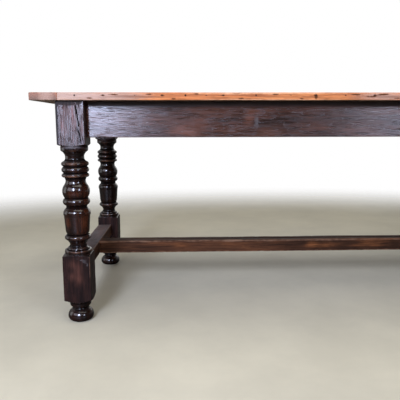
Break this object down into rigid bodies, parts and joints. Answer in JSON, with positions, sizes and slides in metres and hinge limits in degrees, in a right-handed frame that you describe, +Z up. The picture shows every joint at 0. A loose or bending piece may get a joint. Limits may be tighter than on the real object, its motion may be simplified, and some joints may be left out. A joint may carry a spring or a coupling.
{
  "type": "refectory table",
  "caption": "Long refectory table: plank top with end cleats over plain aprons, block-and-vase turned legs on bun feet, and a low H stretcher.",
  "frame": {"origin": "on the floor under the middle of the top", "axes": "+X along the length of the table, +Y from the front to the back, +Z up"},
  "size_m": [2.13, 0.8, 0.77],
  "materials": {
    "top_oak": "worn wax over orange-brown oak",
    "turned_oak": "dark polished stain, worn on the edges",
    "frame_oak": "dark waxed oak",
    "raw_oak": "dry unfinished oak",
    "peg_oak": "dark waxed end grain",
    "screw_steel": "dulled steel"
  },
  "bodies": {
    "root": {"front_left_leg": "turned_oak", "front_right_leg": "turned_oak", "back_left_leg": "turned_oak", "back_right_leg": "turned_oak", "front_left_foot": "turned_oak", "front_right_foot": "turned_oak", "back_left_foot": "turned_oak", "back_right_foot": "turned_oak", "front_board": "top_oak", "second_board": "top_oak", "third_board": "top_oak", "back_board": "top_oak", "left_cleat": "top_oak", "right_cleat": "top_oak", "front_apron": "frame_oak", "back_apron": "frame_oak", "left_end_apron": "frame_oak", "right_end_apron": "frame_oak", "left_end_stretcher": "frame_oak", "right_end_stretcher": "frame_oak", "centre_stretcher": "frame_oak", "left_cross_rail": "raw_oak", "right_cross_rail": "raw_oak", "loose_tongue_1": "raw_oak", "loose_tongue_2": "raw_oak", "loose_tongue_3": "raw_oak", "top_buttons": "raw_oak", "apron_pegs": "peg_oak", "stretcher_pegs": "peg_oak", "cleat_pegs": "peg_oak", "button_screws": "screw_steel"}
  },
  "joints": []
}
